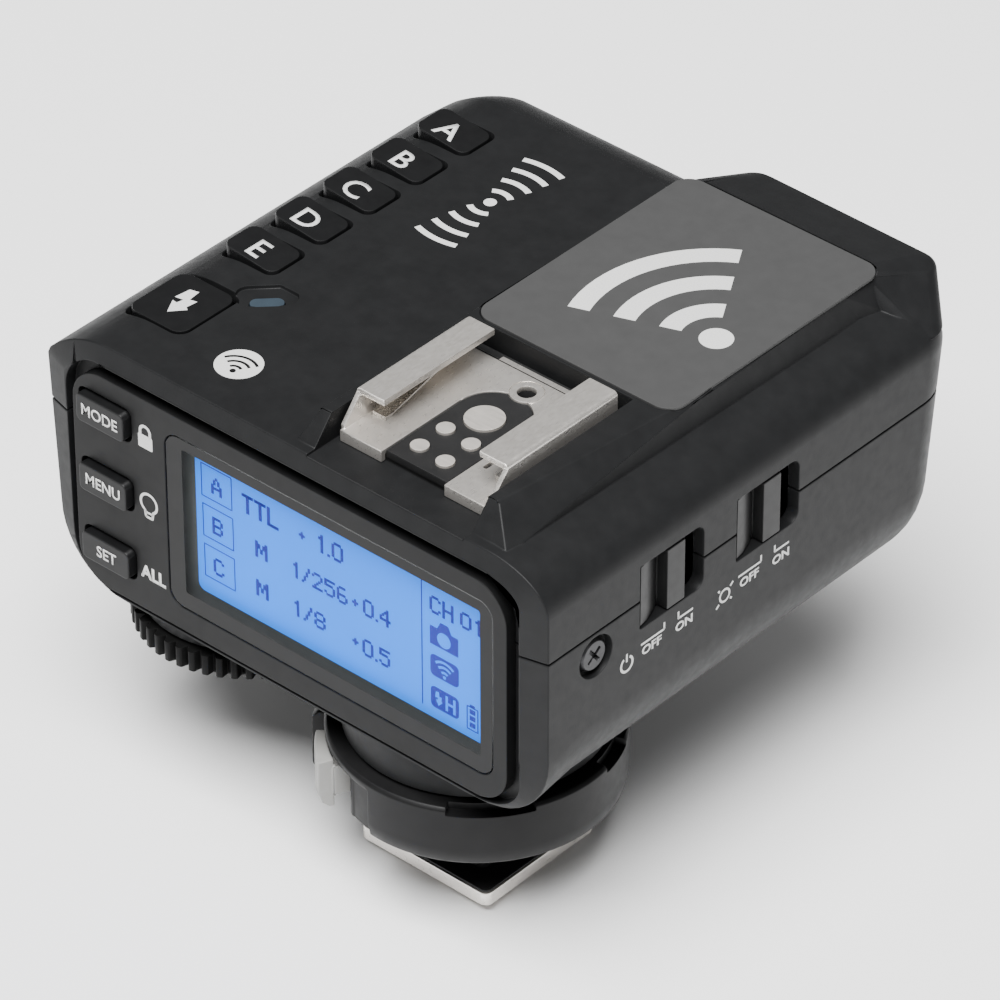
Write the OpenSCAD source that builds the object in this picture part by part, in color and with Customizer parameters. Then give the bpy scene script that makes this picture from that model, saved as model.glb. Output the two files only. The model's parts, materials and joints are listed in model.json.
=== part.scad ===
// Wireless flash trigger: a camera-top radio transmitter with a pass-through shoe.
// Frame: millimetres, +Z up, +Y towards the front of the camera, +X to the right
// as seen by the photographer, who looks at the display on the rear (-Y) face.
// Origin: centre of the underside of the foot plate.

/* [Body] */
// Width of the housing
body_w = 72; // [71.5:0.1:73]
// Distance from the foot axis to the right side wall
side_x = 22.65; // [22.5:0.05:22.8]
// Height of the underside of the housing
body_bottom = 20.4; // [20.2:0.1:20.6]
// Height of the parting line between the two shells
parting_z = 43.1; // [42.8:0.1:43.4]
// Height of the flat top deck
deck_z = 53.85; // [53.6:0.05:54]
// Front end of the deck
front_y = 54.2; // [54:0.05:54.4]
// Crease where the side walls meet the rear rim
rear_y = -14.2; // [-14.4:0.1:-14]
// Wall thickness of the shells
wall = 1.6; // [1.5:0.1:1.8]

/* [Hump and shoe] */
// Height of the raised hump
hump_z = 57.1; // [56.9:0.1:57.3]
// Height of the lips of the shoe
lip_z = 58.85; // [58.6:0.05:59.1]
// Half width over the shoe rails
rail_half = 10.6; // [10.4:0.1:10.8]
// Half width of the slot between the lips
lip_gap_half = 6.65; // [6.4:0.05:6.8]

/* [Foot] */
// Width of the foot plate
foot_w = 18.6; // [18.2:0.1:18.7]
// Length of the foot plate
foot_l = 18; // [17:0.5:18.5]
// Thickness of the foot plate
foot_t = 2; // [1.9:0.05:2.1]
// Largest radius of the round locking collar
collar_r = 16.6; // [16.4:0.1:16.8]

/* [Controls] */
// Spacing of the group buttons along Y
group_pitch = 7.75; // [7.6:0.05:7.8]
// Spacing of the menu keys along Z
key_pitch = 9.25; // [9:0.05:9.4]
// Radius of the knurled select dial
dial_r = 13.2; // [13:0.1:13.4]
// Number of teeth on the select dial
dial_teeth = 50; // [40:1:60]
// Running gap around buttons and keys
gap = 0.35; // [0.3:0.05:0.4]

/* [Hidden] */
left_x = side_x - body_w;
lean = 0.115;               // slope of the front face, in mm of Y per mm of Z
seam = 0.1;                 // half height of the groove at the parting line
panel_y = -15;              // rear surface of the rear panel
panel_t = 1.5;
opening = [-45.9, 19.2, 21.3, 51.6];   // rim opening: left, right, bottom, top
panel = [-45.0, 17.6, 21.6, 50.2];     // rear panel: left, right, bottom, top
lens = [-31.2, 15.6, 24.8, 47.6];      // display lens: left, right, bottom, top
lens_t = 0.9;
key_x = [-44.0, -36.2];
key_top = 47.6;             // top of the uppermost key pocket
key_h = 4.3;
group_x = [-44.0, -35.9];
group_y = 7.0;              // rear edge of the rearmost group button pocket
group_len = 5.9;
key_tilt = 6.2;             // tilt of the top of each group button, in degrees
test_x = [-44.6, -35.5];
test_y = [-7.7, 2.3];
well_half = 11.0;           // half width of the well that the shoe sits in
well_y = [-10.3, 12.4];
shoe_base_z = 55.0;
dial_x = -31.15;
dial_y = -2.7;
dial_z = [17.0, 19.6];
shaft_r = 3.0;
shaft_gap = 0.05;
switch_y = [0.3, 15.9];     // rear edge of each side switch window
switch_len = 10.2;
switch_z = [39.5, 47.6];
switch_travel = 2.2;
cell_r = 7.25;
cell_len = 50.5;
cell_y = [25.6, 41.0];
cell_z = 30.6;
cell_x = -13.35;
door = [-39.2, 12.5, 17.2]; // battery door: left, right, rear edge
door_t = 1.9;
bosses = [[-32.8, 14.4], [13.4, 14.4]];   // screw bosses
jack_pos = [8.5, 33.0];     // sync jack: Y and Z on the left wall
port_pos = [22.5, 33.0];    // charging port: Y and Z on the left wall
port_wall_x = -48.5;
data_sites = [[-3.2, -1.4], [3.2, -1.4], [-2.2, -4.7], [2.2, -4.7]];   // data contacts of the foot
sheet_t = 0.3;              // black sheet on top of the foot plate
pad_angle = [-137.2, -118]; // thumb pad of the lock lever
arm_angle = [-159, -117];   // arm that carries the pad, inside the collar
stem_angle = [-124, -117];  // web from the arm out to the pad
slot_angle = [-186, -93.5]; // cut-out of the collar that the lever moves in
grip_angle = [-158, -146];  // grip at the far end of the arm
post_angle = [-108.5, -92]; // thin end of the collar beside the slot
shoe_sites = [[-2.05, -2.45], [-2.05, -6.5], [1.82, -2.8], [1.82, -6.82]];   // small contacts of the shoe
keyhole_y = 2.6;            // centre of the round front of the insulator in the shoe
lock_y = 8.05;              // lock hole of the shoe
corner_n = 10;              // facets in each quarter of a loft corner
corner_r = 11;              // radius of the bottom right corner along the body
rear_corner = 9.5;          // radius of the same corner at the rear rim
roll_r = 13;                // radius of the rolled top left shoulder
roll_angle = 47;            // angle that the roll covers, in degrees
roll_run = 9.85;            // width in X of the shoulder
roll_drop = 4.9;            // height of the shoulder
nose_run = 5.5;             // depth in Y of the rounding at the front
turn_run = 9;               // depth in Y of the rounder front left corner
turn_w = 12;                // width in X of the same corner

// ---------- helpers ----------

// Quarter of an ellipse about (cx, cz), starting at angle a
function quarter(cx, cz, rx, rz, a) =
    [for (i = [0:corner_n]) [cx + rx * cos(a + 90 * i / corner_n), cz + rz * sin(a + 90 * i / corner_n)]];

// Profile of the rolled top left shoulder: an arc that ends in a short corner on the wall
function shoulder(x0, z1, k) =
    [for (i = [0:corner_n]) let (a = roll_angle * i / (corner_n - 1)) i < corner_n
        ? [x0 + k * (roll_run - roll_r * sin(a)), z1 - k * roll_r * (1 - cos(a))]
        : [x0, z1 - k * roll_drop]];

// Cross-section of the housing in X and Z, moved in by a left, right, bottom and top amount;
// c is the radius of the bottom right corner
function section(l, r, b, t, c) =
    let (x0 = left_x + l, x1 = side_x - r, z0 = body_bottom + b, z1 = deck_z - t)
    concat(
        quarter(x1 - max(8.5 - r, 1), z1 - max(5 - t, 1), max(8.5 - r, 1), max(5 - t, 1), 0),
        shoulder(x0, z1, max(1 - l / 9, 0.15)),
        quarter(x0 + 1 + max(9 - l, 1), z0 + max(9 - b, 1), max(9 - l, 1), max(9 - b, 1), 180),
        quarter(x1 - max(c - r, 1), z0 + max(c - b, 1), max(c - r, 1), max(c - b, 1), 270));

// One ring of the loft: a section at distance y, leaning by the share w of the front slope
function ring(y, w, l, r, b, t, c = corner_r) =
    [for (p = section(l, r, b, t, c)) [p[0], y - w * lean * (deck_z - p[1]), p[1]]];

module loft(rings) {
    n = len(rings[0]);
    m = len(rings);
    sides = [for (k = [0:m - 2]) for (i = [0:n - 1]) each [
        [k * n + i, k * n + (i + 1) % n, (k + 1) * n + (i + 1) % n],
        [k * n + i, (k + 1) * n + (i + 1) % n, (k + 1) * n + i]]];
    polyhedron(
        points = [for (q = rings) each q],
        faces = concat(sides, [[for (i = [n - 1:-1:0]) i]], [[for (i = [0:n - 1]) (m - 1) * n + i]]));
}

// How far the front left corner has turned in at the share h of the nose
function turn_in(h) =
    let (u = (turn_run - nose_run * (1 - h)) / turn_run) turn_w * (1 - sqrt(max(1 - u * u, 0)));

// Rings of the rounded front end; inset moves the whole surface inwards
function front_rings(inset) = concat(
    [ring(front_y - turn_run, 1, inset, inset, inset, inset)],
    [for (i = [0:8]) let (a = i * 90 / 8, s = 1 - cos(a))
        ring(front_y - nose_run + (nose_run - inset) * sin(a), 1,
            inset + turn_in(sin(a)), inset + 5 * s, inset + 4 * s, inset + 2.3 * s + 0.9 * sin(a))]);

module box(x, y, z) {
    translate([x[0], y[0], z[0]]) cube([x[1] - x[0], y[1] - y[0], z[1] - z[0]]);
}

// Rectangle with true round corners in the XY plane
module round_rect(x, y, r) {
    translate([x[0] + r, y[0]]) square([x[1] - x[0] - 2 * r, y[1] - y[0]]);
    translate([x[0], y[0] + r]) square([x[1] - x[0], y[1] - y[0] - 2 * r]);
    for (cx = [x[0] + r, x[1] - r]) for (cy = [y[0] + r, y[1] - r]) translate([cx, cy]) circle(r, $fn = 32);
}

// Upright plate with round corners
module plate(x, y, z, r) {
    translate([0, 0, z[0]]) linear_extrude(z[1] - z[0]) round_rect(x, y, r);
}

// Plate that faces the rear: outline in X and Z, thickness in Y
module rear_plate(x, z, y, r) {
    translate([0, y[1], 0]) rotate([90, 0, 0]) linear_extrude(y[1] - y[0]) round_rect(x, z, r);
}

// Plate that faces the side: outline in Y and Z, thickness in X
module side_plate(y, z, x, r) {
    translate([x[0], 0, 0]) rotate([90, 0, 90]) linear_extrude(x[1] - x[0]) round_rect(y, z, r);
}

module tube(r_out, r_in, z) {
    translate([0, 0, z[0]]) difference() {
        cylinder(r = r_out, h = z[1] - z[0], $fn = 96);
        translate([0, 0, -1]) cylinder(r = r_in, h = z[1] - z[0] + 2, $fn = 96);
    }
}

// ---------- housing ----------

module low_body() {
    loft(concat(
        [ring(panel_y, 0, 3.2, 3.3, 0.8, 2.2, rear_corner), ring(rear_y, 0, 0, 0, 0, 0, rear_corner)],
        [ring(rear_y + 6, 0, 0, 0, 0, 0)],
        front_rings(0)));
}

module low_cavity() {
    loft(concat([ring(panel_y + panel_t + 0.1, 0, wall, wall, wall, wall)], front_rings(wall)));
}

// Short disc with a softened top edge, for the corners of the hump
module puck(x, y, z, r) {
    translate([x, y, z - 0.35]) cylinder(r1 = r, r2 = r - 0.35, h = 0.35, $fn = 32);
}

// Front end of the hump, which flares out to the right over the rounded nose of the body
module hump_nose() {
    hull() {
        puck(-8.4, 45.0, hump_z, 4);
        puck(13.8, 47.2, hump_z, 1.6);
        puck(-6.5, 52.9, 55.6, 3.2);
        puck(15.6, 52.9, 55.6, 2.9);
        puck(-8.6, 49.6, 52, 5.4);
        puck(19.2, 49.6, 51, 3);
        puck(15.5, 50, 48, 2);
        puck(-8, 50, 48, 2);
        puck(15.6, 47.4, 53.2, 1.9);
    }
}

module hump() {
    hull() {
        puck(-8.4, 45.0, hump_z, 4);
        puck(13.8, 47.2, hump_z, 1.6);
        puck(14.0, 17.0, hump_z, 2);
        box([-12.4, 12.4], [well_y[0], well_y[0] + 16], [hump_z - 1, hump_z]);
        box([-13.8, 16.1], [well_y[0] - 3, 40], [52, 53.45]);
        puck(14.6, 46, 53, 2.2);
        puck(-9.8, 46, 53, 4);
    }
    hull() {
        puck(-8.4, 45.0, hump_z, 4);
        puck(13.9, 42, hump_z, 1.7);
        puck(13.8, 47.2, hump_z, 1.6);
        puck(14.4, 42, 53.2, 2);
        puck(15.6, 47.4, 53.2, 1.9);
        puck(-9.8, 46, 53, 4);
    }
    hump_nose();
}

// Space above the slanted rear facets beside the shoe
module hump_rear_cut() {
    translate([-20, well_y[0], hump_z - 0.1]) rotate([-52, 0, 0]) translate([0, -12, 0]) cube([40, 12, 12]);
}

module hump_cavity() {
    hull() {
        box([-9.5, 13], [18, 44], [50, hump_z - wall]);
        box([-10.5, 13.5], [16.5, 48.5], [50, 52.5]);
    }
}

module housing() {
    difference() {
        union() {
            low_body();
            difference() {
                hump();
                hump_rear_cut();
            }
            translate([0, 0, 16.9]) cylinder(r = 14.8, h = 6, $fn = 96);
            translate([dial_x, dial_y, 20.0]) cylinder(r = 12.2, h = 2, $fn = 96);
        }
        low_cavity();
        hump_cavity();
        rear_plate([opening[0], opening[1]], [opening[2], opening[3]], [panel_y - 1, panel_y + panel_t + 0.2], 5);
        box([-well_half, well_half], [well_y[0] - 4, well_y[1]], [53.5, 60]);
    }
}

module below(z) {
    translate([-60, -30, z - 80]) cube([100, 100, 80]);
}

module above(z) {
    translate([-60, -30, z]) cube([100, 100, 80]);
}

module screw_recess() {
    for (s = [-1, 1]) translate([s > 0 ? side_x - 1 : left_x + 1, -6.7, 40]) rotate([0, s * 90, 0]) {
        cylinder(r = 2.55, h = 4, $fn = 48);
        translate([0, 0, -3]) cylinder(r = 1.1, h = 4, $fn = 32);
    }
}

module switch_windows() {
    for (y0 = switch_y) {
        side_plate([y0, y0 + switch_len], switch_z, [side_x - 3, side_x + 1], 1.3);
        box([side_x - 3, side_x + 1], [y0, y0 + 5], switch_z);
    }
}

// Ledge inside the walls that the panel and the shell halves rest on
module panel_ledge() {
    difference() {
        rear_plate([opening[0] - 1.5, opening[1] + 1.2], [opening[2], opening[3] + 0.5],
            [panel_y + panel_t, panel_y + panel_t + 1.2], 5);
        rear_plate([panel[0] + 1.2, panel[1] - 1.2], [panel[2] + 1, panel[3] - 1.2],
            [panel_y, panel_y + panel_t + 2], 2.4);
    }
}

module cell_cradle_space() {
    box([door[0], door[1]], [door[2], 60], [0, body_bottom + door_t]);
}

module bottom_shell() {
    color([0.13, 0.13, 0.14]) difference() {
        union() {
            intersection() {
                housing();
                below(parting_z - seam);
            }
            intersection() {
                panel_ledge();
                below(parting_z - seam);
            }
            for (p = bosses) translate([p[0], p[1], body_bottom + 1])
                cylinder(r = 1.9, h = parting_z - seam - body_bottom - 1, $fn = 32);
        }
        for (p = bosses) translate([p[0], p[1], body_bottom - 1]) {
            cylinder(r = 1.7, h = 3, $fn = 32);
            cylinder(r = 0.95, h = 30, $fn = 24);
        }
        switch_windows();
        screw_recess();
        cell_cradle_space();
        translate([0, 0, 16]) cylinder(r = 10.2, h = 12, $fn = 96);
        translate([dial_x, dial_y, 15]) cylinder(r = shaft_r + shaft_gap, h = 12, $fn = 64);
        translate([-60, jack_pos[0], jack_pos[1]]) rotate([0, 90, 0]) cylinder(r = 3.1, h = 20, $fn = 48);
        side_plate([port_pos[0] - 4.7, port_pos[0] + 4.7], [port_pos[1] - 1.9, port_pos[1] + 1.9], [-60, -40], 1.8);
        front_window_space(0.1);
    }
}

module front_window_space(c) {
    translate([-13.35, 51.2, 33]) rotate([-6.6, 0, 0])
        rear_plate([-9 - c, 9 + c], [-4.2 - c, 4.2 + c], [-1.6 - c, 4], 1.6);
}

// Pocket outline of the test button with its short channel to the status lamp
module test_outline(c) {
    round_rect([test_x[0] - c, test_x[1] + c], [test_y[0] - c, test_y[1] + c], 1.6);
}

module lamp_outline(c) {
    translate([-33.2, 3.35]) rotate(45) round_rect([-1.95 - c, 1.95 + c], [-0.92 - c, 0.92 + c], 0.9 + c);
}

module group_outline(k, c) {
    round_rect([group_x[0] - c, group_x[1] + c],
        [group_y + k * group_pitch - c, group_y + k * group_pitch + group_len + c], 1.2);
}

module top_pockets() {
    translate([0, 0, 44]) linear_extrude(20) {
        for (k = [0:4]) group_outline(k, 0);
        test_outline(0);
        lamp_outline(0);
    }
    translate([0, 0, deck_z - 0.45]) linear_extrude(6) intersection() {
        translate([-33.6, 4.1]) rotate(45) round_rect([-3.6, 3.2], [-1.6, 2.2], 1.5);
        translate([-50, -20]) square([60, 26.6]);
    }
}

module top_shell() {
    color([0.13, 0.13, 0.14]) difference() {
        union() {
            intersection() {
                housing();
                above(parting_z + seam);
            }
            intersection() {
                panel_ledge();
                above(parting_z + seam);
            }
            for (p = bosses) translate([p[0], p[1], parting_z + seam])
                cylinder(r = 1.9, h = deck_z - 1.2 - parting_z - seam, $fn = 32);
        }
        top_pockets();
        switch_windows();
        plate([-12.2, 15.9], [12.8, 48.3], [hump_z - 0.3, hump_z + 2], 2.4);
        box([-9.6, 9.6], [-8, 10], [50, 54]);
    }
}

module top_plate() {
    color([0.16, 0.16, 0.165]) plate([-12.1, 15.8], [12.9, 48.2], [hump_z - 0.3, hump_z + 0.12], 2.3);
}

// ---------- rear face ----------

module key_outline(k, c) {
    z1 = key_top - k * key_pitch;
    round_rect([key_x[0] - c, key_x[1] + c], [z1 - key_h - c, z1 + c], 0.9);
}

module rear_panel() {
    color([0.1, 0.1, 0.105]) difference() {
        rear_plate([panel[0], panel[1]], [panel[2], panel[3]], [panel_y, panel_y + panel_t], 4.6);
        rear_plate([lens[0] - 0.06, lens[1] + 0.06], [lens[2] - 0.06, lens[3] + 0.06],
            [panel_y - 1, panel_y + lens_t], 2);
        rear_plate([lens[0] + 0.5, lens[1] - 0.5], [lens[2] + 0.5, lens[3] - 0.5], [panel_y - 1, panel_y + 3], 1.6);
        for (k = [0:2]) rotate([90, 0, 0]) translate([0, 0, 12]) linear_extrude(5) key_outline(k, 0);
    }
}

module lcd_lens() {
    color([0.5, 0.7, 0.9, 0.5])
        rear_plate([lens[0], lens[1]], [lens[2], lens[3]], [panel_y + 0.1, panel_y + lens_t], 1.94);
}

module lcd_module() {
    color([0.47, 0.69, 0.92]) rear_plate([lens[0] - 0.5, lens[1] + 0.5], [lens[2] - 1, lens[3] + 0.6],
        [panel_y + panel_t, panel_y + panel_t + 3.4], 0.6);
}

// One rear key: a cap in the panel with a wider foot behind it
module rear_key(k) {
    z1 = key_top - k * key_pitch;
    color([0.12, 0.12, 0.125]) {
        rear_plate([key_x[0] + gap, key_x[1] - gap], [z1 - key_h + gap, z1 - gap], [panel_y - 0.9, panel_y + 1.8], 0.7);
        rear_plate([key_x[0] + 0.5, key_x[1] + 0.6], [z1 - key_h - 0.4, z1 + 0.4], [panel_y + 1.8, panel_y + 2.6], 0.9);
    }
}

module mode_button() {
    rear_key(0);
}

module menu_button() {
    rear_key(1);
}

module set_button() {
    rear_key(2);
}

module keypad_mat() {
    color([0.3, 0.3, 0.32]) {
        rear_plate([-44.6, -35.0], [26, 48.6], [panel_y + 3.9, panel_y + 4.6], 1);
        plate([-44.8, -35.0], [-8.4, 45], [48.6, 49.3], 1);
    }
}

// ---------- top buttons ----------

// One group button: its flat top rises towards the left, where the deck rolls down
module group_key(k) {
    color([0.12, 0.12, 0.125]) difference() {
        union() {
            translate([0, 0, 50.6]) linear_extrude(5) group_outline(k, -gap);
            translate([0, 0, 50]) linear_extrude(0.7) group_outline(k, 0.35);
        }
        translate([group_x[1], group_y + k * group_pitch - 1, deck_z]) rotate([0, key_tilt, 0])
            translate([-12, 0, 0]) cube([14, group_len + 2, 4]);
    }
}

module group_button_e() {
    group_key(0);
}

module group_button_d() {
    group_key(1);
}

module group_button_c() {
    group_key(2);
}

module group_button_b() {
    group_key(3);
}

module group_button_a() {
    group_key(4);
}

module test_button() {
    color([0.12, 0.12, 0.125]) {
        translate([0, 0, 50.7]) linear_extrude(deck_z - 0.15 - 50.7) test_outline(-0.45);
        translate([0, 0, 50]) linear_extrude(0.7) test_outline(0.3);
    }
}

module status_led_lens() {
    color([0.35, 0.41, 0.45]) translate([0, 0, 51]) linear_extrude(deck_z - 0.2 - 51) lamp_outline(-0.05);
}

// ---------- side switches ----------

// One slider: a scooped ramp for the finger, then a ridge flush with the wall
module slider(y0) {
    color([0.09, 0.09, 0.095]) {
        translate([side_x, y0, switch_z[0] + 0.2]) linear_extrude(switch_z[1] - switch_z[0] - 0.4) polygon([
            [-1.6, 0.2], [-0.15, 0.2], [-0.35, 1.5], [-1.0, 3.3], [-1.35, 4.0], [-1.35, 4.2],
            [0.05, 4.25], [0.05, 7.1], [-1.6, 7.1]]);
        box([side_x - 3.8, side_x - 1.4], [y0 + 2.6, y0 + 4.6], [42, 44.4]);
    }
}

module power_switch() {
    slider(switch_y[0]);
}

module assist_switch() {
    slider(switch_y[1]);
}

module switch_bodies() {
    color([0.6, 0.6, 0.6]) for (y0 = switch_y) difference() {
        box([side_x - 7.2, side_x - 3.1], [y0 - 0.6, y0 + 10.8], [40.2, 46.2]);
        box([side_x - 4.1, side_x], [y0 + 2.2, y0 + 2.6 + 2 + switch_travel + 0.4], [41.8, 44.6]);
    }
}

// ---------- screws ----------

module cross_recess(r, depth) {
    for (a = [0, 90]) rotate(a) translate([-r, -0.22, -depth]) cube([2 * r, 0.44, depth + 1]);
}

module side_screws() {
    color([0.05, 0.05, 0.05]) for (s = [-1, 1])
        translate([s > 0 ? side_x - 1 : left_x + 1, -6.7, 40]) rotate([0, s * 90, 0]) difference() {
            union() {
                cylinder(r1 = 2.2, r2 = 1.7, h = 0.75, $fn = 48);
                translate([0, 0, -3]) cylinder(r = 1.0, h = 3.2, $fn = 32);
            }
            translate([0, 0, 0.75]) rotate(38) cross_recess(1.15, 0.6);
        }
}

module bottom_screws() {
    color([0.05, 0.05, 0.05]) for (p = bosses)
        translate([p[0], p[1], body_bottom + 1.95]) rotate([180, 0, 0]) difference() {
            union() {
                cylinder(r1 = 1.6, r2 = 1.4, h = 0.8, $fn = 32);
                translate([0, 0, -9]) cylinder(r = 0.9, h = 9.2, $fn = 24);
            }
            translate([0, 0, 0.8]) cross_recess(0.9, 0.5);
        }
}

// ---------- shoe on top ----------

module shoe_rails() {
    color([0.68, 0.66, 0.65]) difference() {
        union() {
            for (s = [-1, 1]) {
                box(s > 0 ? [lip_gap_half, rail_half - 0.6] : [-rail_half + 0.6, -lip_gap_half],
                    [-6.9, 10.5], [lip_z - 0.8, lip_z]);
                translate([s * (rail_half - 0.6), 0, lip_z - 0.6]) rotate([90, 0, 0]) intersection() {
                    translate([0, 0, -10.5]) cylinder(r = 0.6, h = 17.4, $fn = 48);
                    box(s > 0 ? [0, 1] : [-1, 0], [0, 1], [-11, 7]);
                }
                box(s > 0 ? [rail_half - 0.6, rail_half] : [-rail_half, -rail_half + 0.6],
                    [-6.9, 10.5], [shoe_base_z - 0.6, lip_z - 0.6]);
                box(s > 0 ? [4.4, rail_half - 0.3] : [-rail_half + 0.3, -4.4], [-9.3, 10.6],
                    [shoe_base_z - 0.6, shoe_base_z]);
                box(s > 0 ? [4.4, rail_half - 0.3] : [-rail_half + 0.3, -4.4], [-9.9, -9.2],
                    [shoe_base_z - 1.45, shoe_base_z]);
                translate([s > 0 ? rail_half - 0.6 : -rail_half, 0, 0]) rotate([90, 0, 90]) linear_extrude(0.6)
                    polygon([[-9.4, shoe_base_z - 0.6], [-9.4, shoe_base_z + 0.3], [-6.9, lip_z - 0.6],
                        [-6, lip_z - 0.6], [-6, shoe_base_z - 0.6]]);
            }
            difference() {
                box([-6.3, 6.3], [keyhole_y, 11.4], [shoe_base_z - 0.6, shoe_base_z]);
                translate([0, keyhole_y, shoe_base_z - 2]) cylinder(r = 4.35, h = 4, $fn = 64);
            }
            translate([0, lock_y, shoe_base_z - 0.6]) cylinder(r = 1.9, h = 0.7, $fn = 48);
        }
        translate([0, lock_y, shoe_base_z - 2]) cylinder(r = 1.05, h = 4, $fn = 48);
        plate([5.3, 5.8], [-4.9, -3.5], [shoe_base_z - 2, shoe_base_z + 1], 0.24);
    }
}

module shoe_springs() {
    color([0.75, 0.73, 0.7]) for (s = [-1, 1]) {
        box([s * 8.6 - 0.9, s * 8.6 + 0.9], [-5.6, -4.4], [shoe_base_z, shoe_base_z + 0.5]);
        translate([s * 8.6 - 0.9, -4.6, shoe_base_z + 0.2]) rotate([14, 0, 0]) cube([1.8, 9.5, 0.25]);
    }
}

module shoe_insulator() {
    color([0.14, 0.14, 0.15]) difference() {
        union() {
            box([-10.9, 10.9], [-9.1, 12.3], [53.5, shoe_base_z - 0.6]);
            difference() {
                union() {
                    box([-4.28, 4.28], [-9.3, keyhole_y], [54, shoe_base_z - 0.05]);
                    translate([0, keyhole_y, 54]) cylinder(r = 4.25, h = 0.95, $fn = 64);
                }
                translate([0, lock_y, shoe_base_z - 0.6]) cylinder(r = 1.95, h = 2, $fn = 48);
            }
            box([-9, 9], [-6.5, 9.5], [51.5, 53.6]);
        }
        translate([0, lock_y, 50]) cylinder(r = 1.05, h = 10, $fn = 48);
        contact_sites(0.02, 50, 60);
    }
}

module contact_sites(c, z0, z1) {
    translate([-0.15, 1.55, z0]) cylinder(r = 2.25 + c, h = z1 - z0, $fn = 64);
    for (p = shoe_sites) translate([p[0], p[1], z0]) cylinder(r = 1.05 + c, h = z1 - z0, $fn = 48);
}

module shoe_contacts() {
    color([0.78, 0.75, 0.72]) contact_sites(0, 51, shoe_base_z + 0.2);
}

// ---------- dial ----------

function tooth_points(n) =
    [for (i = [0:n - 1]) for (q = [[0, -0.85], [0.22, -0.1], [0.32, 0], [0.6, 0], [0.7, -0.1], [0.92, -0.85]])
        let (a = 360 * (i + q[0]) / n, r = dial_r + q[1]) [r * cos(a), r * sin(a)]];

module select_dial() {
    color([0.1, 0.1, 0.1]) translate([dial_x, dial_y, 0]) {
        translate([0, 0, dial_z[0]]) linear_extrude(dial_z[1] - dial_z[0]) polygon(tooth_points(dial_teeth));
        translate([0, 0, dial_z[0] - 0.3]) cylinder(r1 = 10.4, r2 = 11.4, h = 0.5, $fn = 96);
        translate([0, 0, dial_z[1] - 0.5]) cylinder(r = shaft_r, h = 7.9, $fn = 64);
    }
}

module dial_encoder() {
    color([0.55, 0.55, 0.5]) translate([dial_x, dial_y, 0]) difference() {
        translate([-5.5, -5.5, 22.2]) cube([11, 11, 4.4]);
        translate([0, 0, 20]) cylinder(r = shaft_r + shaft_gap, h = 10, $fn = 64);
    }
}

// ---------- foot ----------

// Wedge of the full height between two angles about the foot axis
module sector(a, r, z) {
    translate([0, 0, z[0]]) linear_extrude(z[1] - z[0])
        polygon(concat([[0, 0]], [for (i = [0:8]) let (t = a[0] + (a[1] - a[0]) * i / 8) [r * cos(t), r * sin(t)]]));
}

// Profile in R and Z swept between two angles
module swept(profile, angles) {
    intersection() {
        rotate_extrude($fn = 128) polygon(profile);
        sector(angles, 30, [0, 30]);
    }
}

module foot_collar() {
    color([0.11, 0.11, 0.115]) {
        difference() {
            rotate_extrude($fn = 128) polygon([[12.6, 8.8], [15.9, 8.8], [collar_r - 0.3, 9.3],
                [collar_r, 11], [collar_r, 16.1], [collar_r - 0.35, 16.5], [14.2, 16.5], [14.2, 16.1],
                [13.4, 16.1], [13.4, 14.6], [14.6, 14.6], [14.6, 10.2], [12.6, 10.2]]);
            sector(slot_angle, 30, [8, 15.4]);
            difference() {
                union() {
                    sector([-60, -26], 30, [15.6, 18]);
                    sector([9, 27], 30, [15.6, 18]);
                }
                cylinder(r = 15.2, h = 40, $fn = 96);
            }
        }
        swept([[13.7, 8.8], [15.5, 8.8], [15.5, 15.6], [13.7, 15.6]], post_angle);
        rotate(post_angle[0]) translate([14.6, 0, 8.8]) cylinder(r = 1, h = 6.8, $fn = 32);
    }
}

module collar_ring() {
    color([0.09, 0.09, 0.09]) tube(13.2, 10.25, [15.9, 16.85]);
}

// Outline in plan of the thumb pad, which thickens towards its near end
function pad_outline() =
    concat([for (i = [0:8]) let (a = pad_angle[0] + (pad_angle[1] - pad_angle[0]) * i / 8, r = 17.5 + 0.1 * i)
            [r * cos(a), r * sin(a)]],
        [for (i = [8:-1:0]) let (a = pad_angle[0] + (pad_angle[1] - pad_angle[0]) * i / 8)
            [16.4 * cos(a), 16.4 * sin(a)]]);

module lock_lever() {
    color([0.67, 0.67, 0.65]) {
        tube(13.1, 8.2, [10.6, 13.4]);
        swept([[12.6, 10.6], [14.35, 10.6], [14.35, 14.1], [12.6, 14.1]], arm_angle);
        swept([[12.8, 10.1], [16.6, 10.1], [16.6, 14], [12.8, 14]], stem_angle);
        intersection() {
            linear_extrude(20) polygon(pad_outline());
            rotate_extrude($fn = 128) polygon([[10, 8.4], [17.0, 8.4], [17.8, 9.1], [18.2, 10.2], [18.4, 11.6],
                [18.4, 14.8], [10, 14.8]]);
        }
    }
}

module lever_grip() {
    color([0.11, 0.11, 0.115]) swept([[14.35, 10.7], [15.3, 7.6], [15.9, 7], [17.6, 7], [18.2, 7.8],
        [18.2, 14.3], [17.4, 15.1], [14.35, 15.1]], grip_angle);
}

module lock_pin() {
    color([0.72, 0.7, 0.68]) translate([0, 6.6, 0.35]) cylinder(r = 1.2, h = 8.3, $fn = 32);
}

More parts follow.
